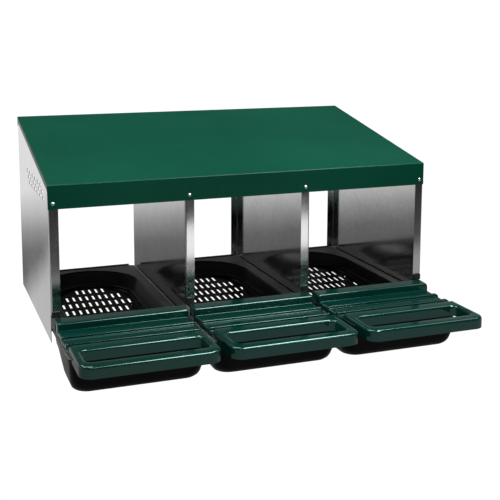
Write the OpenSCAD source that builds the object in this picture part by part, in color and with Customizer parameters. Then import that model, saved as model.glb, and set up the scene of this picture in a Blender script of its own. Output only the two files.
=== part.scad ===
// Roll-away nesting box with three compartments, in millimetres.
// X runs along the width, Y towards the open back, Z up. The origin is the middle of the
// footprint, on the plane that the trays rest on. Parts are drawn with Y = 0 at the front
// faces of the panels, and placed() moves them to the origin.

/* [Housing] */
// Distance from the middle of one compartment to the next
comp_pitch = 310; // [305:1:330]
// Depth of the side panels, front to back
body_depth = 490; // [488:1:520]
// Height of the roof's front bend
front_height = 408; // [385:1:430]
// Height of the roof's rear edge
rear_height = 510; // [470:1:540]
// Height of the panels' lower edges
panel_foot = 55; // [50:1:60]
// Thickness of the steel sheet
sheet = 1; // [0.8:0.1:1.2]
// Width of the panels' front flanges
flange_w = 22; // [20:1:26]
// Width of the panels' rear flanges
rear_flange_w = 20; // [18:1:24]
// Height of the front flanges' cut lower ends
flange_foot = 118; // [116:1:124]
// Height of the roof's front fascia
fascia_h = 54; // [40:1:70]
// Height of the roof's side returns
return_h = 13; // [8:1:20]
// Height of the roof's rear fold
rear_fold_h = 26; // [24:1:32]

/* [Ventilation] */
// Rows of ventilation slots in each side panel
vent_rows = 3; // [1:1:4]
// Slots in a row
vent_cols = 6; // [1:1:8]

/* [Nest tray] */
// Width of the tray's rim
rim_w = 303; // [300:1:303]
// Height of the rim's upper face
rim_top = 82; // [80:1:82]
// Wall thickness of the tray
tray_wall = 3; // [2:0.5:4]
// Inner radius of the bowl's round back at the rim
bowl_r = 126; // [115:1:128]
// Inner radius of the bowl's floor
floor_r = 97; // [85:1:105]
// Distance between columns of floor slots
slot_pitch_x = 16.7; // [15:0.1:20]
// Distance between rows of floor slots
slot_pitch_y = 46; // [42:1:60]

/* [Egg cover] */
// Width of the cover over its ribs
cover_w = 298; // [294:1:300]
// Width of the perch loop
loop_w = 290; // [260:1:292]
// Distance from the panels to the perch's front face
loop_reach = 290; // [280:1:310]
// Height of the perch's upper face
loop_top = 103; // [101:1:105]
// Height of the perch bars
loop_h = 25; // [20:1:30]
// Wall thickness of the cover
cover_wall = 2.5; // [2:0.1:3]

/* [Hinge] */
// Diameter of the hinge rods
rod_d = 4; // [3:0.5:5]

/* [Hidden] */
$fn = 48;
eps = 0.01;
comp_count = 3;
half_w = comp_count * comp_pitch / 2;
roof_slope = (rear_height - front_height) / body_depth;
sheet_v = sheet * sqrt(1 + roof_slope * roof_slope);
wall_hole_d = 6.5;
wall_hole_low = 150;
wall_hole_high = 430;
screw_d = 4;
screw_head_d = 9;
screw_head_h = 2.5;
screw_len = 8;
screw_above_edge = 12;
rear_screw_drop = 14;
screw_clear = 0.2;
rail_front = 12;
rail_rear = 480;
rail_leg = 15;
rail_shelf = 12;
rail_gap = 0.3;
rear_rail_h = 24;
rear_rail_t = 1.5;
tie_rivet_d = 4;
tie_rivet_head_h = 1.5;
tie_rivet_tail_h = 1;
tie_rivet_tail_d = 6;
cap_w = 18;
cap_h = 14;
cap_r = 3;
cap_grip = 8;
cap_front = 3.5;
cap_back = 4;
vent_len = 26;
vent_h = 6.5;
vent_first_y = 103;
vent_pitch_y = 43;
vent_drop = 16.5;
vent_pitch_z = 13;
vent_stagger = 17.5;
tray_rear = 484;
tray_lip_h = 4;
rim_r = 14;
egg_half_w = 146;
egg_front = 182;
rim_front = 187;
gutter_floor_y = 72;
ramp_top_y = 8;
bowl_centre_y = 336;
floor_centre_y = 285;
ledge_top = 62;
insert_lip_w = 6;
insert_lip_h = 2;
insert_gap = 0.3;
floor_front_z = 36;
floor_rise = 0.061;
slot_w = 5;
slot_len = 31;
slot_cols = 11;
slot_rows = 8;
slot_margin = 6;
slot_first_y = 30;
foot_y = 300;
foot_x = 113;
foot_span = 26;
hinge_y = -14;
hinge_z = 103;
ear_r = 5;
rod_run = 0.08;
rod_len = 292;
knuckle_x = 138;
knuckle_w = 4;
knuckle_d = 12;
knuckle_top = 110;
cover_top = 112;
cover_rear = -6;
skirt_foot = 83;
skirt_front = -192;
slot_half_w = 128;
slot_front = -260;
loop_corner_r = 26;
loop_slot_r = 14;
loop_wall = 3;
cover_profile = [[cover_rear, cover_top], [-43, cover_top], [-46, 93], [-84, 97],
    [-90, 91], [-134, 98], [-141, 92], [-168, 102], [skirt_front, loop_top]];
mid_y = (body_depth + sheet + screw_head_h - loop_reach) / 2;
flange_z = front_height - sheet_v;

// Height of the roof's upper face at depth y.
function roof_z(y) = front_height + y * roof_slope;
// Middle of compartment i, counted from 1 at the left.
function comp_x(i) = (i - (comp_count + 1) / 2) * comp_pitch;
// Height of the bowl floor's upper face at depth y.
function floor_z(y) = floor_front_z + y * floor_rise;
// Middles of the four front flanges.
function flange_x(i) = [-half_w + flange_w / 2, -comp_pitch / 2 + (flange_w - sheet) / 2,
    comp_pitch / 2 - (flange_w - sheet) / 2, half_w - flange_w / 2][i - 1];
// Middles of the four rear flanges.
function rear_flange_x(i) = [-half_w + rear_flange_w / 2,
    -comp_pitch / 2 + (rear_flange_w - sheet) / 2,
    comp_pitch / 2 - (rear_flange_w - sheet) / 2, half_w - rear_flange_w / 2][i - 1];

module placed() {
    translate([0, -mid_y, 0]) children();
}

// A sheet in the YZ plane, drawn as an outline of [y, z] points, between x and x + w.
module yz_sheet(x, w) {
    translate([x, 0, 0]) rotate([90, 0, 90]) linear_extrude(w) children();
}

module rounded_rect(w, d, r) {
    square([w - 2 * r, d], center = true);
    square([w, d - 2 * r], center = true);
    for (x = [-1, 1], y = [-1, 1]) {
        translate([x * (w / 2 - r), y * (d / 2 - r)]) circle(r);
    }
}

// A slot with round ends, len long in Y.
module slot_2d(w, len) {
    square([w, len - w], center = true);
    for (y = [-1, 1]) translate([0, y * (len - w) / 2]) circle(w / 2);
}

// A straight-sided shape with a round back: half width r, round about [0, y], front at front.
module d_shape(r, y, front) {
    translate([0, y]) circle(r, $fn = 96);
    translate([-r, front]) square([2 * r, y - front]);
}

// A dome-headed fastener along Y, its head towards -Y, the head's seat at y = 0.
module dome_screw(d, head_d, head_h, len) {
    dome_r = (head_d * head_d / 4 + head_h * head_h) / (2 * head_h);
    rotate([-90, 0, 0]) cylinder(h = len, d = d);
    intersection() {
        translate([0, dome_r - head_h, 0]) sphere(dome_r, $fn = 64);
        translate([-head_d, -head_h - 1, -head_d]) cube([2 * head_d, head_h + 1, 2 * head_d]);
    }
}

// ---- Housing ----

// Level rows of slots, each row set further forward than the one above it.
module vent_outline() {
    for (row = [0 : vent_rows - 1], col = [0 : vent_cols - 1]) {
        y = vent_first_y + col * vent_pitch_y - row * vent_stagger;
        z = front_height - vent_drop - row * vent_pitch_z;
        translate([y, z]) rotate(90) slot_2d(vent_h, vent_len);
    }
}

// A panel whose web lies between x and x + sheet, with its flanges towards side (1 or -1).
module folded_panel(x, side, vents) {
    top = flange_z;
    rear_top = roof_z(body_depth) - sheet_v;
    flange_x0 = side > 0 ? x : x + sheet - flange_w;
    rear_x0 = side > 0 ? x : x + sheet - rear_flange_w;
    yz_sheet(x, sheet) difference() {
        polygon([[0, panel_foot], [body_depth, panel_foot], [body_depth, rear_top], [0, top]]);
        if (vents) vent_outline();
    }
    translate([flange_x0, 0, flange_foot]) cube([flange_w, sheet, top - flange_foot]);
    translate([rear_x0, body_depth - sheet, panel_foot])
        cube([rear_flange_w, sheet, rear_top - sheet - panel_foot]);
}

// Holes in the flanges of panel i for the roof's screws and the rear rail's rivets.
module panel_holes(i) {
    hole_d = screw_d + 2 * screw_clear;
    translate([flange_x(i), -eps, front_height - fascia_h + screw_above_edge])
        rotate([-90, 0, 0]) cylinder(h = 2 * sheet, d = hole_d);
    translate([rear_flange_x(i), body_depth - 2 * sheet, rear_height - rear_screw_drop])
        rotate([-90, 0, 0]) cylinder(h = 3 * sheet, d = hole_d);
    translate([rear_flange_x(i), body_depth - 2 * sheet, panel_foot + rear_rail_h / 2])
        rotate([-90, 0, 0]) cylinder(h = 3 * sheet, d = tie_rivet_d + 2 * screw_clear);
}

module wall_holes(i) {
    for (z = [wall_hole_low, wall_hole_high]) {
        translate([rear_flange_x(i), body_depth - 2 * sheet, z])
            rotate([-90, 0, 0]) cylinder(h = 3 * sheet, d = wall_hole_d);
    }
}

module left_side_panel() {
    color([0.68, 0.69, 0.68]) difference() {
        folded_panel(-half_w, 1, true);
        panel_holes(1);
        wall_holes(1);
    }
}

module right_side_panel() {
    color([0.68, 0.69, 0.68]) difference() {
        folded_panel(half_w - sheet, -1, true);
        panel_holes(4);
        wall_holes(4);
    }
}

module left_divider() {
    color([0.74, 0.75, 0.75]) difference() {
        folded_panel(-comp_pitch / 2 - sheet / 2, 1, false);
        panel_holes(2);
    }
}

module right_divider() {
    color([0.74, 0.75, 0.75]) difference() {
        folded_panel(comp_pitch / 2 - sheet / 2, -1, false);
        panel_holes(3);
    }
}

module roof() {
    hole_d = screw_d + 2 * screw_clear;
    back = body_depth + sheet;
    fascia_foot = front_height - fascia_h;
    color([0.04, 0.35, 0.27]) difference() {
        union() {
            yz_sheet(-half_w - sheet, 2 * (half_w + sheet))
                polygon([[-sheet, roof_z(-sheet) - sheet_v], [back, roof_z(back) - sheet_v],
                    [back, roof_z(back)], [-sheet, roof_z(-sheet)]]);
            for (x = [-half_w - sheet, half_w]) {
                yz_sheet(x, sheet)
                    polygon([[-sheet, roof_z(-sheet) - return_h], [back, roof_z(back) - return_h],
                        [back, roof_z(back) - sheet / 2], [-sheet, roof_z(-sheet) - sheet / 2]]);
            }
            translate([-half_w - sheet, -sheet, fascia_foot])
                cube([2 * (half_w + sheet), sheet, fascia_h - sheet]);
            translate([-half_w - sheet, body_depth, rear_height - rear_fold_h])
                cube([2 * (half_w + sheet), sheet, rear_fold_h - sheet / 2]);
        }
        for (i = [1 : 4]) {
            translate([flange_x(i), -2 * sheet, fascia_foot + screw_above_edge])
                rotate([-90, 0, 0]) cylinder(h = 3 * sheet, d = hole_d);
            translate([rear_flange_x(i), body_depth - sheet, rear_height - rear_screw_drop])
                rotate([-90, 0, 0]) cylinder(h = 3 * sheet, d = hole_d);
        }
    }
}

module roof_front_screws() {
    color([0.75, 0.77, 0.76]) for (i = [1 : 4]) {
        translate([flange_x(i), -sheet, front_height - fascia_h + screw_above_edge])
            dome_screw(screw_d, screw_head_d, screw_head_h, screw_len);
    }
}

module roof_rear_screws() {
    color([0.75, 0.77, 0.76]) for (i = [1 : 4]) {
        translate([rear_flange_x(i), body_depth + sheet, rear_height - rear_screw_drop])
            mirror([0, 1, 0]) dome_screw(screw_d, screw_head_d, screw_head_h, screw_len);
    }
}

// The strip that ties the panels together behind the trays.
module rear_rail() {
    front = body_depth - sheet - rear_rail_t;
    color([0.70, 0.71, 0.70]) difference() {
        translate([-half_w + sheet, front, panel_foot])
            cube([2 * (half_w - sheet), rear_rail_t, rear_rail_h]);
        for (x = [-1, 1]) {
            translate([x * comp_pitch / 2 - sheet, front - eps, panel_foot - eps])
                cube([2 * sheet, 2 * rear_rail_t, rear_rail_h + 2 * eps]);
        }
        for (i = [1 : 4]) {
            translate([rear_flange_x(i), front - sheet, panel_foot + rear_rail_h / 2])
                rotate([-90, 0, 0]) cylinder(h = 3 * sheet, d = tie_rivet_d + 2 * screw_clear);
        }
    }
}

module rear_rail_rivets() {
    len = sheet + rear_rail_t;
    color([0.75, 0.77, 0.76]) for (i = [1 : 4]) {
        translate([rear_flange_x(i), body_depth, panel_foot + rear_rail_h / 2]) {
            mirror([0, 1, 0])
                dome_screw(tie_rivet_d, 2 * tie_rivet_d, tie_rivet_head_h, len);
            translate([0, -len - tie_rivet_tail_h, 0])
                rotate([-90, 0, 0]) cylinder(h = tie_rivet_tail_h, d = tie_rivet_tail_d);
        }
    }
}

// The moulded cap on the cut lower end of front flange i.
module flange_cap(i) {
    color([0.05, 0.05, 0.05]) difference() {
        translate([flange_x(i), 0, flange_foot + cap_grip - cap_h]) union() {
            translate([-cap_w / 2, -cap_front, 0])
                cube([cap_w, cap_front + cap_back, cap_h - cap_r]);
            translate([-cap_w / 2 + cap_r, -cap_front, 0])
                cube([cap_w - 2 * cap_r, cap_front + cap_back, cap_h]);
            for (x = [-1, 1]) {
                translate([x * (cap_w / 2 - cap_r), -cap_front, cap_h - cap_r])
                    rotate([-90, 0, 0]) cylinder(h = cap_front + cap_back, r = cap_r);
            }
        }
        translate([flange_x(i) - cap_w, 0, flange_foot]) cube([2 * cap_w, sheet, cap_grip + eps]);
    }
}

// An angle that carries one edge of a tray's rim. side is -1 for a tray's left rail.
module tray_rail(i, side) {
    web = (i == 1 && side < 0) || (i == comp_count && side > 0) ? sheet : sheet / 2;
    x = comp_x(i) + side * (comp_pitch / 2 - web);
    top = rim_top - tray_wall - rail_gap;
    color([0.70, 0.71, 0.70]) {
        translate([side < 0 ? x : x - sheet, rail_front, top - rail_leg])
            cube([sheet, rail_rear - rail_front, rail_leg]);
        translate([side < 0 ? x : x - rail_shelf, rail_front, top - sheet])
            cube([rail_shelf, rail_rear - rail_front, sheet]);
    }
}

// ---- Nest trays ----

// Slots in the bowl floor that lie inside its outline, less a margin.
module floor_slots() {
    reach = floor_r - slot_margin;
    for (col = [0 : slot_cols - 1], row = [0 : slot_rows - 1]) {
        x = (col - (slot_cols - 1) / 2) * slot_pitch_x;
        y = slot_first_y + row * slot_pitch_y;
        far = y + slot_len / 2 - floor_centre_y;
        inside = far <= 0 ? abs(x) < reach : norm([abs(x) + slot_w / 2, far]) < reach;
        if (inside) {
            translate([x, y, 0]) linear_extrude(rim_top) slot_2d(slot_w, slot_len);
        }
    }
}

// Everything above the floor's plane, moved by dz.
module above_floor(dz) {
    yz_sheet(-rim_w, 2 * rim_w)
        polygon([[-ramp_top_y, floor_z(-ramp_top_y) + dz], [tray_rear, floor_z(tray_rear) + dz],
            [tray_rear, 2 * rim_top], [-ramp_top_y, 2 * rim_top]]);
}

module foot() {
    for (a = [0, 90]) rotate(a) {
        translate([-foot_span / 2, -tray_wall / 2, 0])
            cube([foot_span, tray_wall, ledge_top - tray_wall / 2]);
    }
}

// The gutter that the eggs roll into: side plates, front wall, floor and ramp.
module egg_gutter() {
    floor_line = [[-egg_front, 0], [-gutter_floor_y, 0], [0, floor_front_z - tray_wall],
        [ramp_top_y, floor_front_z - tray_wall]];
    side_foot = concat(floor_line, [[ramp_top_y, rim_top - eps], [-egg_front, rim_top - eps]]);
    lifted = [for (p = floor_line) [p[0], p[1] + tray_wall]];
    for (x = [-egg_half_w, egg_half_w - tray_wall]) yz_sheet(x, tray_wall) polygon(side_foot);
    translate([-egg_half_w, -egg_front, 0]) cube([2 * egg_half_w, tray_wall, rim_top - eps]);
    yz_sheet(-egg_half_w, 2 * egg_half_w)
        polygon(concat(floor_line, [for (k = [len(lifted) - 1 : -1 : 0]) lifted[k]]));
}

// The bowl's upper wall and the ledge that the slotted floor rests on.
module bowl_shell() {
    difference() {
        translate([0, 0, ledge_top - tray_wall]) linear_extrude(rim_top - ledge_top + tray_wall)
            d_shape(bowl_r + tray_wall, bowl_centre_y, ramp_top_y - tray_wall);
        translate([0, 0, ledge_top]) linear_extrude(rim_top)
            d_shape(bowl_r, bowl_centre_y, -1);
        linear_extrude(rim_top)
            d_shape(floor_r + tray_wall + insert_gap, floor_centre_y, -1);
    }
}

// The wall that faces forward on both sides of the bowl's throat.
module throat_wall() {
    foot = floor_front_z - tray_wall;
    difference() {
        translate([-egg_half_w, ramp_top_y - tray_wall, foot])
            cube([2 * egg_half_w, tray_wall, rim_top - eps - foot]);
        translate([-bowl_r, -ramp_top_y, ledge_top]) cube([2 * bowl_r, 3 * ramp_top_y, rim_top]);
        translate([-floor_r, -ramp_top_y, floor_front_z]) cube([2 * floor_r, 3 * ramp_top_y, rim_top]);
    }
}

module rim() {
    mid = (tray_rear - rim_front) / 2;
    translate([0, 0, rim_top - tray_wall]) linear_extrude(tray_wall) difference() {
        translate([0, mid]) rounded_rect(rim_w, tray_rear + rim_front, rim_r);
        d_shape(bowl_r, bowl_centre_y, -eps);
        translate([-egg_half_w + tray_wall, -egg_front + tray_wall])
            square([2 * (egg_half_w - tray_wall), egg_front - tray_wall + ramp_top_y]);
    }
    translate([-rim_w / 2 + rim_r, tray_rear - tray_wall, rim_top - eps])
        cube([rim_w - 2 * rim_r, tray_wall, tray_lip_h]);
}

// An ear of the tray that holds the hinge rod, outer face at x.
module hinge_ear(x) {
    difference() {
        yz_sheet(x - tray_wall, tray_wall) union() {
            translate([hinge_y - ear_r, rim_top - tray_wall])
                square([2 * ear_r, hinge_z - rim_top + tray_wall]);
            translate([hinge_y, hinge_z]) circle(ear_r);
        }
        translate([x - 2 * tray_wall, hinge_y, hinge_z])
            rotate([0, 90, 0]) cylinder(h = 3 * tray_wall, d = rod_d + 2 * rod_run);
    }
}

module nest_tray(i) {
    color([0.07, 0.07, 0.07]) translate([comp_x(i), 0, 0]) {
        rim();
        bowl_shell();
        throat_wall();
        egg_gutter();
        hinge_ear(egg_half_w);
        hinge_ear(-egg_half_w + tray_wall);
        for (x = [-foot_x, foot_x]) translate([x, foot_y, 0]) foot();
    }
}

// The slotted floor that drops into the bowl and rests on its ledge.
module nest_floor(i) {
    front = ramp_top_y + insert_gap;
    color([0.06, 0.06, 0.06]) translate([comp_x(i), 0, 0]) difference() {
        union() {
            translate([0, 0, ledge_top]) linear_extrude(insert_lip_h)
                d_shape(floor_r + insert_lip_w, floor_centre_y, front);
            intersection() {
                linear_extrude(ledge_top + insert_lip_h / 2)
                    d_shape(floor_r + tray_wall, floor_centre_y, front);
                above_floor(-tray_wall);
            }
        }
        intersection() {
            linear_extrude(rim_top) d_shape(floor_r, floor_centre_y, -1);
            above_floor(0);
        }
        floor_slots();
    }
}

// ---- Egg covers ----

module cover_skin() {
    lower = [for (p = cover_profile) p + [cover_wall, -tray_wall]];
    yz_sheet(-cover_w / 2, cover_w)
        polygon(concat(cover_profile, [for (k = [len(lower) - 1 : -1 : 0]) lower[k]]));
}

module cover_skirts() {
    outline = concat([[hinge_y, skirt_foot], [hinge_y, cover_top]],
        [for (k = [1 : len(cover_profile) - 1]) cover_profile[k]], [[skirt_front, skirt_foot]]);
    for (x = [-cover_w / 2, cover_w / 2 - cover_wall]) yz_sheet(x, cover_wall) polygon(outline);
    translate([-cover_w / 2, skirt_front, skirt_foot])
        cube([cover_w, cover_wall, loop_top - skirt_foot - cover_wall / 2]);
}

// The outline of the perch loop, grown inwards by inset.
module loop_2d(inset) {
    rear = skirt_front + cover_wall / 2;
    r = loop_corner_r - inset;
    w = loop_w - 2 * inset;
    front = -loop_reach + inset;
    difference() {
        union() {
            translate([-w / 2, front + r]) square([w, rear - front - r]);
            translate([-w / 2 + r, front]) square([w - 2 * r, r]);
            for (x = [-1, 1]) translate([x * (w / 2 - r), front + r]) circle(r);
        }
        translate([0, (rear + inset + slot_front - inset) / 2])
            rounded_rect(2 * (slot_half_w + inset), rear - slot_front + 3 * inset, loop_slot_r);
    }
}

module perch_loop() {
    difference() {
        translate([0, 0, loop_top - loop_h]) linear_extrude(loop_h) loop_2d(0);
        translate([0, 0, loop_top - loop_h - 1]) linear_extrude(loop_h - loop_wall + 1)
            intersection() {
                loop_2d(loop_wall);
                translate([-loop_w, -2 * loop_reach]) square([2 * loop_w, 2 * loop_reach + skirt_front]);
            }
    }
}

module knuckle(x) {
    difference() {
        translate([x, hinge_y - knuckle_d / 2, hinge_z - ear_r])
            cube([knuckle_w, knuckle_d, knuckle_top - hinge_z + ear_r]);
        translate([x - 1, hinge_y, hinge_z]) rotate([0, 90, 0])
            cylinder(h = knuckle_w + 2, d = rod_d);
    }
}

module egg_cover(i) {
    color([0.01, 0.20, 0.17]) translate([comp_x(i), 0, 0]) {
        cover_skin();
        cover_skirts();
        perch_loop();
        knuckle(knuckle_x);
        knuckle(-knuckle_x - knuckle_w);
    }
}

module hinge_rod(i) {
    color([0.72, 0.73, 0.74]) translate([comp_x(i) - rod_len / 2, hinge_y, hinge_z])
        rotate([0, 90, 0]) cylinder(h = rod_len, d = rod_d);
}

placed() left_side_panel();
placed() right_side_panel();
placed() left_divider();
placed() right_divider();
placed() roof();
placed() roof_front_screws();
placed() roof_rear_screws();
placed() rear_rail();
placed() rear_rail_rivets();
placed() flange_cap(1);  // flange_cap_1
placed() flange_cap(2);  // flange_cap_2
placed() flange_cap(3);  // flange_cap_3
placed() flange_cap(4);  // flange_cap_4
placed() tray_rail(1, -1);  // rail_left_1
placed() tray_rail(2, -1);  // rail_left_2
placed() tray_rail(3, -1);  // rail_left_3
placed() tray_rail(1, 1);  // rail_right_1
placed() tray_rail(2, 1);  // rail_right_2
placed() tray_rail(3, 1);  // rail_right_3
placed() nest_tray(1);  // nest_tray_1
placed() nest_tray(2);  // nest_tray_2
placed() nest_tray(3);  // nest_tray_3
placed() nest_floor(1);  // nest_floor_1
placed() nest_floor(2);  // nest_floor_2
placed() nest_floor(3);  // nest_floor_3
placed() egg_cover(1);  // egg_cover_1
placed() egg_cover(2);  // egg_cover_2
placed() egg_cover(3);  // egg_cover_3
placed() hinge_rod(1);  // hinge_rod_1
placed() hinge_rod(2);  // hinge_rod_2
placed() hinge_rod(3);  // hinge_rod_3
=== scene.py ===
"""Looks of a roll-away nesting box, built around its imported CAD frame.

Lengths inside the builders are millimetres in a compartment's own frame: x from its middle,
y from the panels' front faces, z from the plane that the trays rest on.
"""

import math

import bmesh
import bpy
from mathutils import Matrix, Vector
from mathutils.geometry import delaunay_2d_cdt


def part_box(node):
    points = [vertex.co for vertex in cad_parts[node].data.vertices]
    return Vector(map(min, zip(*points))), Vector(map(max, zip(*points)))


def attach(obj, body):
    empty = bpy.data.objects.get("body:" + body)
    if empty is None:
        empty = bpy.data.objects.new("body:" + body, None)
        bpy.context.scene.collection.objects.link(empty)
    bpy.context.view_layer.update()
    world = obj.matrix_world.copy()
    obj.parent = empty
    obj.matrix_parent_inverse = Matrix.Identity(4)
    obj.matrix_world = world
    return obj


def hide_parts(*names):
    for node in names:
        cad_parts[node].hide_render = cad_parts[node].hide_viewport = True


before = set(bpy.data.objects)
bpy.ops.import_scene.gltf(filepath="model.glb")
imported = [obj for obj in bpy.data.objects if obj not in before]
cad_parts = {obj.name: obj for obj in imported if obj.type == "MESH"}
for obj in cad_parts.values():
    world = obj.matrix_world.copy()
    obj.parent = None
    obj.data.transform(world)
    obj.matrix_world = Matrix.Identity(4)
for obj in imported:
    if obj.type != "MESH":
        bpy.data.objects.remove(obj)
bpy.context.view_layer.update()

MM = 0.001
COMPARTMENTS = (1, 2, 3)
PANEL_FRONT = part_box("left_side_panel")[0].y
SMOOTH_ANGLE = math.radians(38)


# ---- Sizes from the frame ----


def node_box(node, middle=0.0):
    """A node's lowest and highest corners, in millimetres, with x counted from middle."""
    origin = Vector((middle, PANEL_FRONT, 0))
    return [(corner - origin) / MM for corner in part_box(node)]


def node_middle(node):
    """The x of a node's middle, in metres."""
    low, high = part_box(node)
    return (low.x + high.x) / 2


PANEL_LOW, PANEL_HIGH = node_box("left_side_panel")
ROOF_LOW, ROOF_HIGH = node_box("roof")
TRAY_LOW, TRAY_HIGH = node_box("nest_tray_2", node_middle("nest_tray_2"))
COVER_LOW = node_box("egg_cover_2", node_middle("egg_cover_2"))[0]
ROD_LOW, ROD_HIGH = node_box("hinge_rod_2", node_middle("hinge_rod_2"))
HALF_WIDTH = -PANEL_LOW.x
DEPTH = PANEL_HIGH.y
SHEET = ROOF_HIGH.y - DEPTH
FRONT_HEIGHT = 408.0
REAR_HEIGHT = ROOF_HIGH.z - SHEET * 0.2
HINGE = Vector((0, (ROD_LOW.y + ROD_HIGH.y) / 2, (ROD_LOW.z + ROD_HIGH.z) / 2))
ROD_R = (ROD_HIGH.z - ROD_LOW.z) / 2
# the rod runs freely in the ears and is gripped by the knuckles
ROD_RUN = 0.08
ROD_GRIP = 0.02


def roof_height(y):
    return FRONT_HEIGHT + (REAR_HEIGHT - FRONT_HEIGHT) * y / DEPTH


# ---- Outlines ----


def arc(x, y, r, start, end, steps):
    """Points on a circle from start to end, in degrees."""
    angles = [math.radians(start + (end - start) * k / steps) for k in range(steps + 1)]
    return [(x + r * math.cos(a), y + r * math.sin(a)) for a in angles]


def rounded_rect(x0, y0, x1, y1, r, steps=6):
    """A closed outline, anticlockwise from its right front corner."""
    corners = ((x1 - r, y0 + r, -90), (x1 - r, y1 - r, 0), (x0 + r, y1 - r, 90), (x0 + r, y0 + r, 180))
    points = []
    for x, y, start in corners:
        points += arc(x, y, r, start, start + 90, steps)
    return points


def slot_outline(x, y, width, length, tilt=0.0, steps=6):
    """A slot with round ends, long in y before it is tilted, in degrees."""
    r = width / 2
    half = length / 2 - r
    turn = Matrix.Rotation(math.radians(tilt), 2)
    ends = arc(0, half, r, 0, 180, steps) + arc(0, -half, r, 180, 360, steps)
    return [tuple(turn @ Vector(p) + Vector((x, y))) for p in ends]


def offset(points, distance, closed=True):
    """Moves an anticlockwise outline outwards, with mitred corners."""
    moved = []
    count = len(points)
    for k in range(count):
        before = points[k - 1] if closed or k > 0 else None
        after = points[(k + 1) % count] if closed or k < count - 1 else None
        here = Vector(points[k])
        normals = []
        for a, b in ((before, points[k]), (points[k], after)):
            if a is not None and b is not None and (Vector(b) - Vector(a)).length > 1e-6:
                along = (Vector(b) - Vector(a)).normalized()
                normals.append(Vector((along.y, -along.x)))
        total = sum(normals, Vector((0, 0)))
        total.normalize()
        moved.append(tuple(here + total * distance / max(total.dot(normals[0]), 0.5)))
    return moved


def inside(point, outline):
    x, y = point
    hit = False
    for k in range(len(outline)):
        (ax, ay), (bx, by) = outline[k - 1], outline[k]
        if (ay > y) != (by > y) and x < (bx - ax) * (y - ay) / (by - ay) + ax:
            hit = not hit
    return hit


def fillet(radius, steps=4):
    """Pairs of (distance from the edge, drop below the face) round a quarter circle, from the face down."""
    angles = [math.pi / 2 * k / steps for k in range(steps + 1)]
    return [(radius * (1 - math.sin(a)), radius * (1 - math.cos(a))) for a in angles]


def smooth(t):
    t = min(max(t, 0.0), 1.0)
    return t * t * (3 - 2 * t)


# ---- Skins: the outer faces of thin-walled pieces ----


class Skin:
    """Points and faces of one piece, in millimetres."""

    def __init__(self):
        self.points = []
        self.faces = []

    def ring(self, points):
        start = len(self.points)
        self.points += [tuple(p) for p in points]
        return list(range(start, len(self.points)))

    def bridge(self, a, b, closed=False):
        """Joins two rings of the same length with quads."""
        last = len(a) if closed else len(a) - 1
        for k in range(last):
            n = (k + 1) % len(a)
            self.faces.append((a[k], a[n], b[n], b[k]))

    def loft(self, rings, closed=False):
        rows = [self.ring(points) for points in rings]
        for a, b in zip(rows, rows[1:]):
            self.bridge(a, b, closed)
        return rows

    def patch(self, outline, lift, holes=(), stations=()):
        """Fills an outline that may have holes. lift turns a flat point into one in space, and
        stations are lines across it along which the patch bends."""
        flat, edges = [], []
        for loop in (outline, *holes):
            first = len(flat)
            flat += [Vector(p) for p in loop]
            edges += [(first + k, first + (k + 1) % len(loop)) for k in range(len(loop))]
        for a, b in stations:
            edges.append((len(flat), len(flat) + 1))
            flat += [Vector(a), Vector(b)]
        points, _, triangles, *_ = delaunay_2d_cdt(flat, edges, [], 0, 1e-4)
        row = self.ring([lift(*p) for p in points])
        for triangle in triangles:
            middle = sum((points[k] for k in triangle), Vector((0, 0))) / 3
            if inside(middle, outline) and not any(inside(middle, hole) for hole in holes):
                self.faces.append(tuple(row[k] for k in triangle))

    def prism(self, outline, lift, low, high):
        """A closed solid: an outline carried from low to high along the third direction."""
        rows = self.loft([[lift(u, v, w) for u, v in outline] for w in (low, high)], closed=True)
        self.faces += [tuple(reversed(rows[0])), tuple(rows[1])]

    def bored_plate(self, outline, bore, lift, low, high, edge):
        """A closed solid like a prism, with a rounded edge and a straight bore."""
        rounding = fillet(edge, 3)
        rings = [(offset(outline, -distance), low + drop) for distance, drop in rounding]
        rings += [(offset(outline, -distance), high - drop) for distance, drop in reversed(rounding)]
        self.loft([[lift(u, v, w) for u, v in points] for points, w in rings], closed=True)
        self.loft([[lift(u, v, w) for u, v in bore] for w in (low, high)], closed=True)
        for w in (low, high):
            self.patch(offset(outline, -edge), lambda u, v: lift(u, v, w), holes=[bore])

    def build(self, name, middle=0.0, wall=0.0, facing=(0, 0, 1)):
        """Makes the object. With a wall, the faces are a skin that looks towards facing and is thickened
        away from it."""
        mesh = bpy.data.meshes.new(name)
        scaled = [(x * MM + middle, y * MM + PANEL_FRONT, z * MM) for x, y, z in self.points]
        mesh.from_pydata(scaled, [], self.faces)
        work = bmesh.new()
        work.from_mesh(mesh)
        bmesh.ops.remove_doubles(work, verts=work.verts, dist=0.02 * MM)
        bmesh.ops.dissolve_degenerate(work, edges=work.edges, dist=0.01 * MM)
        bmesh.ops.recalc_face_normals(work, faces=work.faces)
        if wall:
            lean = sum(face.normal.dot(Vector(facing)) * face.calc_area() for face in work.faces)
            if lean < 0:
                bmesh.ops.reverse_faces(work, faces=work.faces)
        work.to_mesh(mesh)
        work.free()
        piece = bpy.data.objects.new(name, mesh)
        bpy.context.scene.collection.objects.link(piece)
        if wall:
            thicken(piece, wall)
        return piece


def apply_modifiers(piece):
    graph = bpy.context.evaluated_depsgraph_get()
    mesh = bpy.data.meshes.new_from_object(piece.evaluated_get(graph))
    piece.modifiers.clear()
    piece.data = mesh


def thicken(piece, wall):
    solid = piece.modifiers.new("wall", "SOLIDIFY")
    solid.thickness = wall * MM
    solid.offset = -1
    solid.use_even_offset = True
    apply_modifiers(piece)


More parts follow.
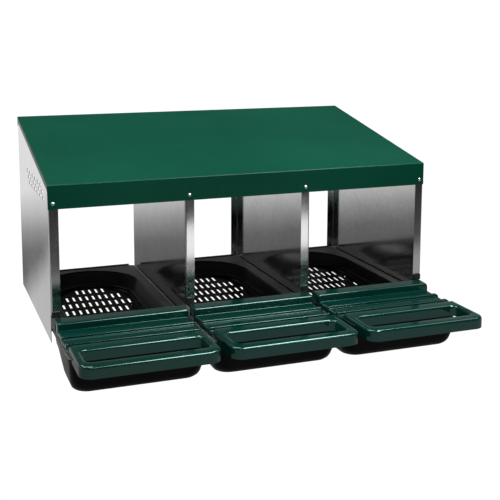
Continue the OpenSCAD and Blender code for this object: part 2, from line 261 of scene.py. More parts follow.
def bevel(piece, width, segments=2, angle=30):
    edge = piece.modifiers.new("edge", "BEVEL")
    edge.width = width * MM
    edge.segments = segments
    edge.limit_method = "ANGLE"
    edge.angle_limit = math.radians(angle)
    edge.harden_normals = True
    apply_modifiers(piece)


def shade(piece, angle=SMOOTH_ANGLE):
    """Smooth faces with crisp edges where the surface turns by more than angle."""
    for face in piece.data.polygons:
        face.use_smooth = True
    work = bmesh.new()
    work.from_mesh(piece.data)
    for edge in work.edges:
        if len(edge.link_faces) == 2 and edge.calc_face_angle(0) > angle:
            edge.smooth = False
    work.to_mesh(piece.data)
    work.free()
    flat = piece.modifiers.new("flat", "WEIGHTED_NORMAL")
    flat.keep_sharp = True
    flat.weight = 90
    apply_modifiers(piece)


def join(name, pieces):
    """Joins pieces into one object."""
    bpy.ops.object.select_all(action="DESELECT")
    for piece in pieces:
        piece.select_set(True)
    bpy.context.view_layer.objects.active = pieces[0]
    bpy.ops.object.join()
    pieces[0].name = name
    return pieces[0]


def mount(piece, body, slot, material, *nodes):
    """Gives a finished piece its material and its body, and hides the CAD nodes that it stands for."""
    piece.data.materials.clear()
    piece.data.materials.append(material)
    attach(piece, body)
    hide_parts(*nodes)
    return piece


# ---- Materials ----


class Nodes:
    """Short names for the shader nodes that the materials and the world share."""

    def __init__(self, tree, place):
        self.tree = tree
        self.place = tree.nodes.new("ShaderNodeTexCoord").outputs[place]

    def link(self, a, b):
        self.tree.links.new(a, b)

    def stretched(self, scale):
        mapping = self.tree.nodes.new("ShaderNodeMapping")
        mapping.inputs["Scale"].default_value = scale
        self.link(self.place, mapping.inputs["Vector"])
        return mapping.outputs["Vector"]

    def noise(self, scale, detail=3.0, rough=0.5, stretch=None):
        node = self.tree.nodes.new("ShaderNodeTexNoise")
        node.inputs["Scale"].default_value = scale
        node.inputs["Detail"].default_value = detail
        node.inputs["Roughness"].default_value = rough
        self.link(self.stretched(stretch) if stretch else self.place, node.inputs["Vector"])
        return node.outputs["Fac"]

    def cells(self, scale, output="Distance"):
        node = self.tree.nodes.new("ShaderNodeTexVoronoi")
        node.inputs["Scale"].default_value = scale
        self.link(self.place, node.inputs["Vector"])
        return node.outputs[output]

    def ramp(self, value, stops):
        node = self.tree.nodes.new("ShaderNodeValToRGB")
        while len(node.color_ramp.elements) < len(stops):
            node.color_ramp.elements.new(0.5)
        for element, (position, colour) in zip(node.color_ramp.elements, stops):
            element.position = position
            element.color = (*colour, 1) if isinstance(colour, tuple) else (colour, colour, colour, 1)
        self.link(value, node.inputs["Fac"])
        return node.outputs["Color"]

    def spread(self, value, low, high, start=0.0, end=1.0):
        node = self.tree.nodes.new("ShaderNodeMapRange")
        node.inputs["From Min"].default_value = start
        node.inputs["From Max"].default_value = end
        node.inputs["To Min"].default_value = low
        node.inputs["To Max"].default_value = high
        self.link(value, node.inputs["Value"])
        return node.outputs["Result"]

    def math(self, kind, a, b):
        node = self.tree.nodes.new("ShaderNodeMath")
        node.operation = kind
        for value, socket in zip((a, b), node.inputs):
            if isinstance(value, (int, float)):
                socket.default_value = value
            else:
                self.link(value, socket)
        return node.outputs["Value"]

    def blend(self, factor, a, b):
        node = self.tree.nodes.new("ShaderNodeMix")
        node.data_type = "RGBA"
        self.link(factor, node.inputs["Factor"])
        for value, socket in ((a, node.inputs["A"]), (b, node.inputs["B"])):
            if isinstance(value, tuple):
                socket.default_value = (*value, 1)
            else:
                self.link(value, socket)
        return node.outputs["Result"]

    def axes(self):
        """The coordinates of the shaded point, as outputs named X, Y and Z."""
        node = self.tree.nodes.new("ShaderNodeSeparateXYZ")
        self.link(self.place, node.inputs["Vector"])
        return node.outputs


class MaterialNodes(Nodes):
    """The nodes of a new material, placed by the object's own coordinates."""

    def __init__(self, name):
        self.material = bpy.data.materials.new(name)
        self.material.use_nodes = True
        super().__init__(self.material.node_tree, "Object")
        self.shader = self.tree.nodes["Principled BSDF"]

    def bump(self, value, strength, distance):
        node = self.tree.nodes.new("ShaderNodeBump")
        node.inputs["Strength"].default_value = strength
        node.inputs["Distance"].default_value = distance
        self.link(value, node.inputs["Height"])
        self.link(node.outputs["Normal"], self.shader.inputs["Normal"])

    def set(self, **values):
        """Sets the shader's own sockets; a value may be a number, a colour or a node's output."""
        names = {"colour": "Base Color", "metal": "Metallic", "rough": "Roughness",
                 "gloss": "Specular IOR Level", "tint": "Specular Tint"}
        for key, value in values.items():
            socket = self.shader.inputs[names[key]]
            if isinstance(value, tuple):
                socket.default_value = (*value, 1)
            elif isinstance(value, (int, float)):
                socket.default_value = value
            else:
                self.link(value, socket)


def galvanised(name, dark, light, rough_low, rough_high):
    """Zinc-coated sheet: large faint spangle, rolling streaks and cloudy patches."""
    n = MaterialNodes(name)
    spangle = n.cells(95.0, output="Color")
    cloud = n.noise(7.0, detail=5.0)
    streak = n.noise(60.0, detail=2.0, stretch=(1.0, 0.08, 1.0))
    mixed = n.math("ADD", n.math("MULTIPLY", cloud, 0.65), n.math("MULTIPLY", spangle, 0.2))
    mixed = n.math("ADD", mixed, n.math("MULTIPLY", streak, 0.15))
    n.set(colour=n.ramp(mixed, [(0.25, dark), (0.75, light)]), metal=1.0)
    n.set(rough=n.spread(mixed, rough_low, rough_high, 0.25, 0.75))
    n.bump(n.noise(9.0, detail=1.0), 0.05, 0.004)
    return n.material


def roof_paint():
    """Satin green coat with orange peel and a few scuffs."""
    n = MaterialNodes("roof_paint")
    cloud = n.noise(3.0, detail=4.0)
    scuff = n.noise(45.0, detail=6.0, rough=0.7, stretch=(1.0, 4.0, 1.0))
    n.set(colour=n.ramp(cloud, [(0.3, (0.0009, 0.042, 0.024)), (0.7, (0.0015, 0.052, 0.030))]))
    n.set(rough=n.spread(scuff, 0.26, 0.38, 0.3, 0.7), gloss=0.14)
    n.bump(n.noise(420.0, detail=1.0), 0.06, 0.0006)
    return n.material


def cover_plastic():
    """Glossy moulded dark green with flow marks and fine handling scratches."""
    n = MaterialNodes("cover_plastic")
    flow = n.noise(9.0, detail=3.0, stretch=(0.3, 1.0, 1.0))
    scratch = n.noise(160.0, detail=4.0, rough=0.7, stretch=(0.08, 1.0, 1.0))
    n.set(colour=n.ramp(flow, [(0.3, (0.0004, 0.019, 0.014)), (0.7, (0.0006, 0.025, 0.019))]))
    n.set(rough=n.spread(scratch, 0.06, 0.14, 0.3, 0.7), gloss=0.8, tint=(0.62, 1.0, 0.92))
    n.bump(n.noise(30.0, detail=2.0), 0.05, 0.002)
    return n.material


def tray_plastic(rim_height):
    """Black moulding: smooth in the bowl, leather grain on the rim, and a lighter grey on the rim that is a
    painted sheen.
    """
    n = MaterialNodes("tray_plastic")
    cloud = n.noise(12.0, detail=4.0)
    grain = n.math("ADD", n.cells(900.0), n.math("MULTIPLY", n.noise(700.0, detail=2.0), 0.6))
    rim_grain_and_painted_sheen = n.spread(n.axes()["Z"], 0.0, 1.0, (rim_height - 1.2) * MM, (rim_height - 0.4) * MM)
    tone = n.ramp(cloud, [(0.3, (0.0022, 0.0020, 0.0020)), (0.7, (0.0042, 0.0038, 0.0038))])
    # painted sheen: the rim's base colour is a lighter grey that stands in for its shine at grazing angles
    n.set(colour=n.blend(rim_grain_and_painted_sheen, tone, (0.11, 0.11, 0.108)))
    rough = n.math("ADD", n.spread(cloud, 0.16, 0.26, 0.3, 0.7), n.math("MULTIPLY", rim_grain_and_painted_sheen, 0.22))
    n.set(rough=rough, gloss=0.09)
    n.bump(n.math("MULTIPLY", grain, n.spread(rim_grain_and_painted_sheen, 0.12, 1.0)), 0.35, 0.0005)
    return n.material


def cap_plastic():
    # near black: the clip is painted shade where the flange's foot passes behind the cover's lip
    n = MaterialNodes("cap_plastic")
    cloud = n.noise(60.0, detail=3.0)
    n.set(colour=n.ramp(cloud, [(0.3, (0.008, 0.008, 0.008)), (0.7, (0.013, 0.013, 0.013))]))
    n.set(rough=n.spread(cloud, 0.38, 0.52, 0.3, 0.7))
    n.bump(n.noise(900.0, detail=2.0), 0.15, 0.0003)
    return n.material


def zinc(name, streaks):
    """Bright zinc plate: turned marks on screws, drawn marks along rods."""
    n = MaterialNodes(name)
    mark = n.noise(700.0, detail=3.0, stretch=streaks)
    n.set(colour=n.ramp(mark, [(0.3, (0.56, 0.57, 0.56)), (0.7, (0.74, 0.75, 0.74))]), metal=1.0)
    n.set(rough=n.spread(mark, 0.18, 0.34, 0.3, 0.7))
    n.bump(mark, 0.08, 0.0003)
    return n.material


# ---- Housing ----

ROOF_BEND = 2.6
PANEL_BEND = 4.0
VENT_WIDTH, VENT_LENGTH = 6.5, 26.0
# the pressed lip round a vent: its width and its depth
VENT_LIP, VENT_SINK = 1.8, 0.9


def build_roof():
    """Sloping top with a rounded fold all round: fascia, side returns and rear fold."""
    fascia_foot, return_drop, rear_foot = ROOF_LOW.z, 13.0, REAR_HEIGHT - 26.0
    x, y0, y1 = HALF_WIDTH + SHEET, ROOF_LOW.y, ROOF_HIGH.y
    edge = rounded_rect(-x, y0, x, y1, ROOF_BEND, 5)
    jumps = []
    for k, (px, py) in enumerate(edge):
        nx, ny = edge[(k + 1) % len(edge)]
        jumps.append((px, py))
        if abs(px - nx) > 2 * ROOF_BEND or abs(py - ny) > 2 * ROOF_BEND:
            jumps += [(px + (nx - px) * f / 6, py + (ny - py) * f / 6) for f in range(1, 6)]

    def foot(px, py):
        if py < y0 + ROOF_BEND * 0.5:
            return fascia_foot
        if py > y1 - ROOF_BEND * 0.5:
            return rear_foot
        return roof_height(py) - return_drop

    skin = Skin()
    rings = []
    for distance, drop in fillet(ROOF_BEND):
        rings.append([(px, py, roof_height(py) - drop) for px, py in offset(jumps, -distance)])
    rings.append([(px, py, foot(px, py)) for px, py in jumps])
    rows = skin.loft(rings, closed=True)
    skin.faces.append(tuple(rows[0]))
    piece = skin.build("roof_skin", wall=SHEET)
    shade(piece)
    return piece


def vent_slots():
    """Middles of the ventilation slots, as (y, z): level rows, each further forward than the one above."""
    for row in range(3):
        for col in range(6):
            yield 103.0 + col * 43.0 - row * 17.5, FRONT_HEIGHT - 16.5 - row * 13.0


def build_panel(name, node, inward, vents):
    """A folded panel. inward is 1 where its flanges point to +x, and -1 where they point to -x."""
    low, high = node_box(node)
    web = low.x if inward > 0 else high.x
    flange_foot = node_box("flange_cap_1")[0].z + 6.0
    front_w = high.x - low.x
    rear_w = front_w - 2.0
    under = SHEET * 1.02

    def top(y):
        return roof_height(max(y, 0)) - under

    skin = Skin()
    bend_r = PANEL_BEND
    far = DEPTH - bend_r
    outline = [(bend_r, low.z), (far, low.z), (far, top(far)), (bend_r, top(bend_r)), (bend_r, flange_foot)]
    holes = []
    for y, z in vent_slots() if vents else ():
        slot = slot_outline(y, z, VENT_WIDTH, VENT_LENGTH, tilt=90.0)
        holes.append(offset(slot, VENT_LIP))
        steps = (VENT_LIP, 1.2, 0.6, 0.0)
        sink = [(distance, VENT_SINK * smooth(1 - distance / VENT_LIP)) for distance in steps]
        skin.loft([[(web + inward * down, u, v) for u, v in offset(slot, d)] for d, down in sink], closed=True)
    skin.patch(outline, lambda u, v: (web, u, v), holes=holes)
    bend = [(web + inward * bend_r * (1 - math.cos(a)), bend_r * (1 - math.sin(a)))
            for a in (math.pi / 2 * k / 5 for k in range(6))]
    front = bend + [(web + inward * front_w, 0.0)]
    rear = [(x, DEPTH - y) for x, y in bend] + [(web + inward * rear_w, DEPTH)]
    flange_top = top(0) - 3.0
    rows = [[(x, y, flange_foot) for x, y in front], [(x, y, min(top(y), flange_top + y)) for x, y in front]]
    skin.loft(rows)
    rear_top = top(DEPTH) - 2.0
    rows = [[(x, y, low.z) for x, y in rear], [(x, y, min(top(y), rear_top + DEPTH - y)) for x, y in rear]]
    skin.loft(rows)
    piece = skin.build(name, wall=SHEET, facing=(-inward, 0, 0))
    shade(piece)
    return piece


def build_cap(name, node):
    """A moulded clip with rounded edges."""
    low, high = node_box(node)
    skin = Skin()
    inset, r = 0.5, 3.0
    middle = (low.x + high.x) / 2
    half = (high.x - low.x) / 2
    outline = [(-half, low.z), (half, low.z)]
    outline += arc(half - r, high.z - r, r, 0, 90, 4) + arc(-half + r, high.z - r, r, 90, 180, 4)
    faces = [(low.y, inset), (low.y + inset, 0.0), (high.y - inset, 0.0), (high.y, inset)]
    rings = [[(middle + u, y, v) for u, v in offset(outline, -shrink)] for y, shrink in faces]
    rows = skin.loft(rings, closed=True)
    skin.faces += [tuple(reversed(rows[0])), tuple(rows[-1])]
    piece = skin.build(name)
    shade(piece)
    return piece


# ---- Nest trays ----

RIM = 82.0
RIM_EDGE = 2.5
BOWL_R = 126.0
BOWL_Y = 336.0
FLOOR_R = 97.0
FLOOR_Y = 285.0
THROAT_Y = 8.0
GUTTER_HALF = 143.0
GUTTER_FRONT = -179.0
GUTTER_FLOOR = 3.0
OPENING_EDGE = 3.0
TRAY_WALL = 2.8
NEST_FLOOR_WALL = 2.9
TRAY_FRONT = -187.0
TRAY_CORNER = 14.0
EAR_R = 5.0
# from the inner to the outer face of an ear, counted from the middle of the tray
EAR_SPAN = (143.0, 146.0)
LEDGE = 62.0


def tray_floor(y):
    return 36.0 + 0.061 * y


def ramp(y):
    """Height of the gutter's floor, which climbs to the bowl's floor."""
    return GUTTER_FLOOR + (tray_floor(THROAT_Y) - GUTTER_FLOOR) * smooth((y + 80.0) / (80.0 + THROAT_Y - 3.0))


def bowl_curve(r, centre, straight=14, around=40):
    """A D open to the front: up the left side, round the back and down the right side."""
    side = [THROAT_Y + (centre - THROAT_Y) * k / straight for k in range(straight)]
    left = [(-r, y) for y in side]
    right = [(r, y) for y in reversed(side)]
    return left + arc(0, centre, r, 180, 0, around) + right


def gutter_curve(squeeze):
    """The gutter's plan, from its rear left to its rear right. squeeze is 0 at the rim and 1 at the floor."""
    half = GUTTER_HALF - 14.0 * squeeze
    front = GUTTER_FRONT + 20.0 * squeeze
    r = 24.0 + 8.0 * squeeze
    sides = 14
    side = [THROAT_Y + (front + r - THROAT_Y) * k / sides for k in range(sides)]
    points = [(-half, y) for y in side]
    points += arc(-half + r, front + r, r, 180, 270, 8)
    points += arc(half - r, front + r, r, 270, 360, 8)
    return points + [(half, y) for y in reversed(side)]


def bowl_rings():
    """The bowl's wall, from the rim's edge down to the ledge that carries its floor."""
    lip = RIM - OPENING_EDGE
    for k in range(8):
        t = k / 7
        r = BOWL_R + (FLOOR_R + 7.0 - BOWL_R) * t
        centre = BOWL_Y + (FLOOR_Y - BOWL_Y) * t
        yield [(x, y, LEDGE + (lip - LEDGE) * (1 - t) ** 1.25) for x, y in bowl_curve(r, centre)]
    yield [(x, y, LEDGE) for x, y in bowl_curve(FLOOR_R + 3.4, FLOOR_Y)]


def nest_floor_rings():
    """The drop-in floor's lip and wall, from the lip's outer edge down to the edge of the slotted floor."""
    front = THROAT_Y + 0.3
    top = LEDGE + 2.0
    steps = ((FLOOR_R + 5.8, LEDGE + 0.1, 0.0), (FLOOR_R + 5.6, top - 0.9, 0.0), (FLOOR_R + 4.4, top, 0.0),
             (FLOOR_R + 1.4, top - 0.1, 0.0), (FLOOR_R + 0.3, top - 1.0, 0.0), (FLOOR_R, top, 0.14),
             (FLOOR_R - 0.6, top, 0.75), (FLOOR_R - 1.6, top, 0.93), (FLOOR_R - 3.2, top, 1.0))
    for r, z, sink in steps:
        yield [(x, max(y, front), z + (tray_floor(y) - z) * sink) for x, y in bowl_curve(r, FLOOR_Y)]


def gutter_rings():
    """The gutter's wall, from the rim's edge down to the edge of its floor."""
    lip = RIM - OPENING_EDGE
    profile = ((1.0, 0.0), (0.75, 0.06), (0.5, 0.14), (0.3, 0.24), (0.17, 0.38), (0.08, 0.56), (0.025, 0.78),
               (0.0, 1.0))
    for up, squeeze in profile:
        yield [(x, y, ramp(y) + (lip - ramp(y)) * up) for x, y in gutter_curve(squeeze)]


def floor_slots():
    """Outlines of the slots in the bowl's floor."""
    cols, rows, pitch_x, pitch_y, width, length = 11, 8, 16.7, 46.0, 5.0, 31.0
    reach = FLOOR_R - 6.0
    for col in range(cols):
        for row in range(rows):
            x = (col - (cols - 1) / 2) * pitch_x
            y = 30.0 + row * pitch_y
            far = y + length / 2 - FLOOR_Y
            if abs(x) < reach and (far <= 0 or math.hypot(abs(x) + width / 2, far) < reach):
                yield slot_outline(x, y, width, length, steps=5)


def build_tray(name, middle):
    skin = Skin()
    bowl = skin_rows(skin, bowl_rings())
    gutter = skin_rows(skin, gutter_rings())
    # the gutter's floor, bent along lines across it
    lowest = [p[:2] for p in gutter[-1]]
    count = len(lowest)
    bends = [(lowest[k], lowest[count - 1 - k]) for k in range(1, count // 2 - 1)]
    skin.patch(lowest, lambda u, v: (u, v, ramp(v)), stations=bends)
    # the wall that faces forward on both sides of the throat
    for side in (0, -1):
        inner = [(p[side][0], p[side][2]) for p in bowl]
        outer = [(p[side][0], p[side][2]) for p in gutter]
        edge = math.copysign(FLOOR_R, inner[-1][0])
        inner += [(edge, LEDGE), (edge, ramp(THROAT_Y))]
        outline = outer + list(reversed(inner))
        skin.patch(outline, lambda u, v: (u, THROAT_Y, v))
    # the rim round the opening
    opening = [*reversed(bowl_curve(BOWL_R, BOWL_Y)), *gutter_curve(0.0)]
    rings = []
    for distance, drop in reversed(fillet(OPENING_EDGE)):
        rings.append([(u, v, RIM - drop) for u, v in offset(opening, distance)])
    skin.loft(rings, closed=True)
    border = rounded_rect(TRAY_LOW.x, TRAY_FRONT, TRAY_HIGH.x, TRAY_HIGH.y, TRAY_CORNER, 8)
    rings = [[(u, v, RIM - drop) for u, v in offset(border, -distance)] for distance, drop in fillet(RIM_EDGE)]
    skin.loft(rings, closed=True)
    skin.patch(offset(border, -RIM_EDGE), lambda u, v: (u, v, RIM), holes=[offset(opening, OPENING_EDGE)])
    shell = skin.build(name, middle, wall=TRAY_WALL)
    details = Skin()
    add_tray_details(details)
    extras = details.build(name + "_details", middle)
    bevel(extras, 0.6)
    ears = Skin()
    ear = [(HINGE.y - EAR_R, RIM - 2.0), (HINGE.y + EAR_R, RIM - 2.0)]
    ear += arc(HINGE.y, HINGE.z, EAR_R, 0, 180, 10)
    add_hinge_plates(ears, ear, ROD_R + ROD_RUN, *EAR_SPAN, 0.6)
    tray = join(name, [shell, extras, ears.build(name + "_ears", middle)])
    shade(tray)
    return tray


def build_nest_floor(name, middle):
    """The slotted floor that drops into a bowl, with softened slot edges."""
    skin = Skin()
    wall = skin_rows(skin, nest_floor_rings())
    slots = list(floor_slots())
    for slot in slots:
        lips = ((1.0, 0.0), (0.6, 0.2), (0.25, 0.6), (0.0, 1.1))
        rings = [[(u, v, tray_floor(v) - drop) for u, v in offset(slot, grow)] for grow, drop in lips]
        skin.loft(rings, closed=True)
    edge = [p[:2] for p in wall[-1]]
    skin.patch(edge, lambda u, v: (u, v, tray_floor(v)), holes=[offset(slot, 1.0) for slot in slots])
    piece = skin.build(name, middle, wall=NEST_FLOOR_WALL)
    shade(piece)
    return piece


def skin_rows(skin, rings):
    """Lofts the rings into the skin and returns their points."""
    rings = list(rings)
    skin.loft(rings)
    return rings


def add_hinge_plates(skin, outline, bore_r, low, high, edge):
    """The same bored plate on both sides: an ear of a tray or a knuckle of a cover."""
    bore = arc(HINGE.y, HINGE.z, bore_r, 0, 360, 24)[:-1]
    for side in (-1, 1):
        skin.bored_plate(outline, bore, lambda u, v, w: (w, u, v), *sorted((side * low, side * high)), edge)


def add_tray_details(skin):
    """Rear upstand and feet."""
    reach = TRAY_HIGH.x - TRAY_CORNER
    back, foot, top = TRAY_HIGH.y, RIM - 1.5, RIM + 4.0
    lip = [(back - 3.0, foot), (back, foot), (back, top), (back - 3.0, top)]
    skin.prism(lip, lambda u, v, w: (w, u, v), -reach, reach)
    span, web, foot_y, foot_x = 13.0, 1.5, 300.0, 113.0
    for side in (-1, 1):
        x = side * foot_x
        for a, b in ((span, web), (web, span)):
            plate = [(x - a, foot_y - b), (x + a, foot_y - b), (x + a, foot_y + b), (x - a, foot_y + b)]
            skin.prism(plate, lambda u, v, w: (u, v, w), 0.0, 62.0)


# ---- Egg covers ----

COVER_WALL = 2.4
COVER_EDGE = 5.5
LOOP_TOP = 103.0
LOOP_BACK = -170.0
LOOP_HALF = 145.0
KNUCKLE_R = 6.0
KNUCKLE_TOP = 110.5
KNUCKLE_SPAN = (138.0, 142.0)
SKIRT_FRONT = -192.0
COVER_PROFILE = (
    (-6.0, 108.6, 0.0), (-6.4, 112.0, 2.2), (-43.5, 112.0, 5.0), (-44.5, 95.5, 0.9), (-80.0, 94.5, 0.9),
    (-82.5, 98.8, 1.6), (-92.0, 98.4, 1.8), (-92.6, 93.4, 0.9), (-127.5, 92.6, 0.9),
    (-130.0, 99.2, 1.6), (-140.0, 98.8, 1.8), (-140.6, 92.2, 0.9), (-158.5, 91.8, 0.9),
    (-161.0, LOOP_TOP, 2.4), (LOOP_BACK, LOOP_TOP, 0.0),
)


def rounded_line(corners, steps=4):
    """A line through corners given as (y, z, radius), with an arc at each corner."""
    points = []
    for k, (y, z, r) in enumerate(corners):
        here = Vector((y, z))
        if r == 0.0 or k in (0, len(corners) - 1):
            points.append(here)
            continue
        back = (Vector(corners[k - 1][:2]) - here)
        ahead = (Vector(corners[k + 1][:2]) - here)
        room = min(back.length, ahead.length) * 0.48
        half = back.angle(ahead) / 2
        reach = min(r / math.tan(half), room)
        a, b = here + back.normalized() * reach, here + ahead.normalized() * reach
        for s in range(steps + 1):
            t = s / steps
            points.append(a.lerp(here, t).lerp(here.lerp(b, t), t))
    return points


def half_width(y):
    """Half the cover's width: full at the ribs, drawn in between them."""
    ribs = ((-24.0, 22.0, 149.0), (-88.0, 9.0, 148.5), (-136.0, 9.0, 147.0), (-200.0, 44.0, 145.0))
    widths = [141.0 + (w - 141.0) * smooth(1.35 - abs(y - centre) / (1.6 * reach)) for centre, reach, w in ribs]
    return max(widths)


def skirt_foot(y):
    """Height of the cover's lower edge, raised at the rear so that it clears the rim as the cover swings."""
    return 83.0 + 1.3 * smooth((y + 20.0) / 10.0) - 5.0 * smooth((-184.0 - y) / 10.0)


def build_cover(name, middle):
    skin = Skin()
    profile = rounded_line(COVER_PROFILE)
    edge = fillet(COVER_EDGE)
    rows = []
    for y, z in profile:
        half = half_width(y)
        room = z - skirt_foot(y)
        # the rear corners are sharper, to clear the tray's ears
        round_off = 1.6 + (COVER_EDGE - 1.6) * smooth((-7.0 - y) / 14.0)
        side = [(half - distance, z - drop) for distance, drop in fillet(round_off)]
        side += [(half, z - round_off - (room - round_off) * f) for f in (0.5, 1.0)]
        section = [(-x, y, h) for x, h in reversed(side)] + [(x, y, h) for x, h in side]
        rows.append(section)
    skin.loft(rows)
    # the perch loop carries the last section on round its front
    half = half_width(LOOP_BACK)
    front, corner = COVER_LOW.y, 26.0
    steps = 6
    sweep = [(half + (LOOP_HALF - half) * k / steps, LOOP_BACK + (front + corner - LOOP_BACK) * k / steps)
             for k in range(steps)]
    sweep += arc(LOOP_HALF - corner, front + corner, corner, 0, -90, 10)
    outer = [(x, y) for x, y in sweep] + [(-x, y) for x, y in reversed(sweep)]
    clockwise = list(reversed(outer))
    rings = []
    for distance, drop in edge:
        rings.append([(x, y, LOOP_TOP - drop) for x, y in offset(clockwise, -distance, closed=False)])
    edge_foot = LOOP_TOP - COVER_EDGE
    for f in (0.5, 1.0):
        rings.append([(x, y, edge_foot - (edge_foot - skirt_foot(y)) * f) for x, y in clockwise])
    for ring in rings:
        for end, sign in ((0, -1), (-1, 1)):
            x, _, z = ring[end]
            ring[end] = (x, LOOP_BACK, z)
    skin.loft(rings)
    slot = rounded_rect(-128.0, -260.0, 128.0, SKIRT_FRONT, 14.0, 6)
    slot_rings = [[(x, y, LOOP_TOP - drop) for x, y in offset(slot, distance)] for distance, drop in edge]
    slot_rings += [[(x, y, 78.5) for x, y in slot]]
    skin.loft(slot_rings, closed=True)
    top = [p[:2] for p in rings[0]]
    skin.patch(top, lambda u, v: (u, v, LOOP_TOP), holes=[offset(slot, edge[0][0])])
    shell = skin.build(name, middle, wall=COVER_WALL)
    knuckles = Skin()
    knuckle = [(HINGE.y + KNUCKLE_R, KNUCKLE_TOP), (HINGE.y - KNUCKLE_R, KNUCKLE_TOP)]
    knuckle += arc(HINGE.y, HINGE.z, KNUCKLE_R, 180, 360, 10)
    add_hinge_plates(knuckles, knuckle, ROD_R + ROD_GRIP, *KNUCKLE_SPAN, 0.5)
    cover = join(name, [shell, knuckles.build(name + "_knuckles", middle)])
    shade(cover)
    return cover


# ---- The object ----

steel_outside = galvanised("galvanised_sheet", (0.64, 0.65, 0.64), (0.80, 0.81, 0.80), 0.08, 0.16)
rail_steel = galvanised("rail_steel", (0.38, 0.39, 0.38), (0.50, 0.51, 0.50), 0.26, 0.38)
paint = roof_paint()
green = cover_plastic()
black = tray_plastic(RIM)
shade_black_cap = cap_plastic()
fastener_zinc = zinc("zinc_fastener", (1.0, 1.0, 1.0))
rod_steel = zinc("rod_steel", (0.02, 1.0, 1.0))

mount(build_roof(), "housing", "roof_paint", paint, "roof")
for node, inward, vents in (("left_side_panel", 1, True), ("right_side_panel", -1, True),
                            ("left_divider", 1, False), ("right_divider", -1, False)):
    panel = build_panel(node + "_skin", node, inward, vents)
    mount(panel, "housing", "galvanised_sheet", steel_outside, node)
for k in (1, 2, 3, 4):
    node = f"flange_cap_{k}"
    # the clips' black is painted shade at the flanges' feet
    mount(build_cap(node + "_moulding", node), "housing", "cap_plastic", shade_black_cap, node)
for k in COMPARTMENTS:
    middle = node_middle(f"nest_tray_{k}")
    mount(build_tray(f"nest_tray_{k}_moulding", middle), f"tray_{k}", "tray_plastic", black, f"nest_tray_{k}")
    drop_in = build_nest_floor(f"nest_floor_{k}_moulding", middle)
    mount(drop_in, f"tray_{k}", "tray_plastic", black, f"nest_floor_{k}")
    cover = build_cover(f"egg_cover_{k}_moulding", middle)
    mount(cover, f"cover_{k}", "cover_plastic", green, f"egg_cover_{k}")

finishes = {"rear_rail": rail_steel, "roof_front_screws": fastener_zinc, "roof_rear_screws": fastener_zinc,
            "rear_rail_rivets": fastener_zinc}
for k in COMPARTMENTS:
    finishes[f"rail_left_{k}"] = rail_steel
    finishes[f"rail_right_{k}"] = rail_steel
    finishes[f"hinge_rod_{k}"] = rod_steel
for node, material in finishes.items():
    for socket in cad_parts[node].material_slots:
        socket.material = material


# ---- Studio ----


def build_floor():
    """A wide pale floor: plain white to look at, with painted shade and light from front to back in what
    the object reflects."""
    work = bmesh.new()
    bmesh.ops.create_grid(work, x_segments=2, y_segments=2, size=40.0)
    mesh = bpy.data.meshes.new("floor")
    work.to_mesh(mesh)
    work.free()
    floor = bpy.data.objects.new("floor", mesh)
    floor.location.z = -0.0005
    bpy.context.scene.collection.objects.link(floor)
    n = MaterialNodes("floor")
    axes = n.axes()
    near, far = -3.0, 5.0
    along = n.spread(axes["Y"], 0.0, 1.0, near, far)
    # painted shade and light along y, seen only in what the floor lights and mirrors
    stops = [(near, 0.02), (-1.8, 0.03), (-0.9, 0.08), (-0.65, 0.40), (0.0, 0.20), (0.5, 0.11), (0.95, 0.16),
             (1.25, 0.32), (1.6, 0.58), (2.1, 0.82), (far, 0.85)]
    middle = n.ramp(along, [((y - near) / (far - near), level) for y, level in stops])
    # painted shadow: the object's own shade is painted behind it, and the floor beside that is painted bright
    reach = n.math("SUBTRACT", n.math("ABSOLUTE", axes["X"], 0.0), n.math("MULTIPLY", axes["Y"], 0.35))
    painted_bright_beside = n.math("MULTIPLY", n.spread(reach, 0.0, 1.0, 0.27, 0.35), n.spread(axes["Y"], 0.0, 1.0, -0.1, 0.1))
    painted_floor_light = n.blend(painted_bright_beside, middle, (0.55, 0.55, 0.55))
    add_camera_white(n.tree, painted_floor_light, n.tree.nodes["Material Output"].inputs["Surface"], "ShaderNodeEmission")
    n.tree.nodes.remove(n.shader)
    mesh.materials.append(n.material)


def add_camera_white(tree, colour, surface, kind):
    """Plain white where the camera sees it directly, and the given colour in all that it lights or is
    mirrored in."""
    seen, lit = tree.nodes.new(kind), tree.nodes.new(kind)
    seen.inputs["Color"].default_value = (1, 1, 1, 1)
    seen.inputs["Strength"].default_value = 1.05
    tree.links.new(colour, lit.inputs["Color"])
    rays = tree.nodes.new("ShaderNodeLightPath")
    mix = tree.nodes.new("ShaderNodeMixShader")
    tree.links.new(rays.outputs["Is Camera Ray"], mix.inputs["Fac"])
    tree.links.new(lit.outputs[0], mix.inputs[1])
    tree.links.new(seen.outputs[0], mix.inputs[2])
    tree.links.new(mix.outputs["Shader"], surface)


def build_light(name, place, target, size, power, colour=(1.0, 1.0, 1.0)):
    data = bpy.data.lights.new(name, "AREA")
    data.shape = "RECTANGLE"
    data.size, data.size_y = size
    data.energy = power
    data.color = colour
    lamp = bpy.data.objects.new(name, data)
    lamp.location = place
    lamp.rotation_euler = (Vector(target) - Vector(place)).to_track_quat("-Z", "Y").to_euler()
    lamp.visible_camera = False
    bpy.context.scene.collection.objects.link(lamp)


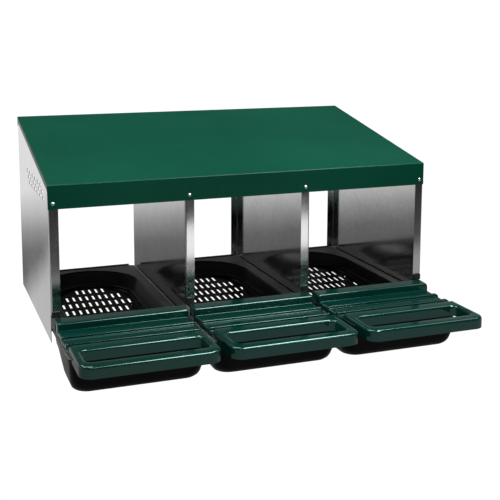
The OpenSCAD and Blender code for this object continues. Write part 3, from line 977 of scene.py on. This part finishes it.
def build_world():
    """White to the camera. To the object it is a dim room, with a pale wall low down behind."""
    world = bpy.data.worlds.new("studio")
    bpy.context.scene.world = world
    world.use_nodes = True
    tree = world.node_tree
    n = Nodes(tree, "Generated")
    axes = n.axes()
    heights = [(0.0, 0.5), (0.12, 0.4), (0.28, 0.25), (0.36, 0.05), (0.60, 0.015), (1.0, 0.2)]
    behind = n.ramp(axes["Z"], heights)
    ahead = n.spread(axes["Y"], 1.0, 0.0, -0.25, 0.15)
    room = n.blend(ahead, behind, (0.035, 0.035, 0.035))
    add_camera_white(tree, room, tree.nodes["World Output"].inputs["Surface"], "ShaderNodeBackground")
    tree.nodes.remove(tree.nodes["Background"])


def build_camera():
    """The viewing angle: to the left of the middle and a little above."""
    azimuth, elevation, roll = (math.radians(a) for a in (-19.14, 7.92, -0.14))
    level = math.cos(elevation)
    back = Vector((math.sin(azimuth) * level, -math.cos(azimuth) * level, math.sin(elevation)))
    right = (-back).cross(Vector((0, 0, 1))).normalized()
    up = back.cross(right)
    tilted = right * math.cos(roll) + up * math.sin(roll)
    turn = Matrix((tilted, back.cross(tilted), back)).transposed()
    data = bpy.data.cameras.new("camera")
    data.lens = 64.95
    data.sensor_width = 36.0
    data.shift_x = 0.07
    data.shift_y = -0.20
    camera = bpy.data.objects.new("camera", data)
    camera.matrix_world = Matrix.Translation((-0.75014, -2.02309, 0.74913)) @ turn.to_4x4()
    bpy.context.scene.collection.objects.link(camera)
    bpy.context.scene.camera = camera


build_floor()
build_world()
build_light("overhead", (-0.6, -0.1, 2.1), (-0.1, -0.1, 0.2), (1.7, 0.9), 24.0)
build_light("edge_strip", (0.6, -0.8, 1.9), (0.0, -0.5, 0.1), (2.0, 0.4), 52.0)
build_light("front_strip", (0.0, -1.9, 1.5), (0.0, -0.3, 0.15), (2.2, 0.3), 9.0)
build_light("front_card", (0.3, -1.1, 0.01), (0.3, -1.1, 1.0), (0.95, 0.5), 1.7)
build_light("left_fill", (-1.8, 0.1, 2.0), (-0.4, 0.0, 0.3), (1.4, 0.9), 16.0)
build_light("right_fill", (1.8, 0.1, 2.0), (0.4, 0.0, 0.3), (1.4, 0.9), 8.0)
build_light("rear_fill", (-1.4, 1.9, 2.4), (0.0, 0.2, 0.25), (1.2, 0.9), 12.0)
build_camera()
bpy.context.scene.view_settings.view_transform = "Standard"
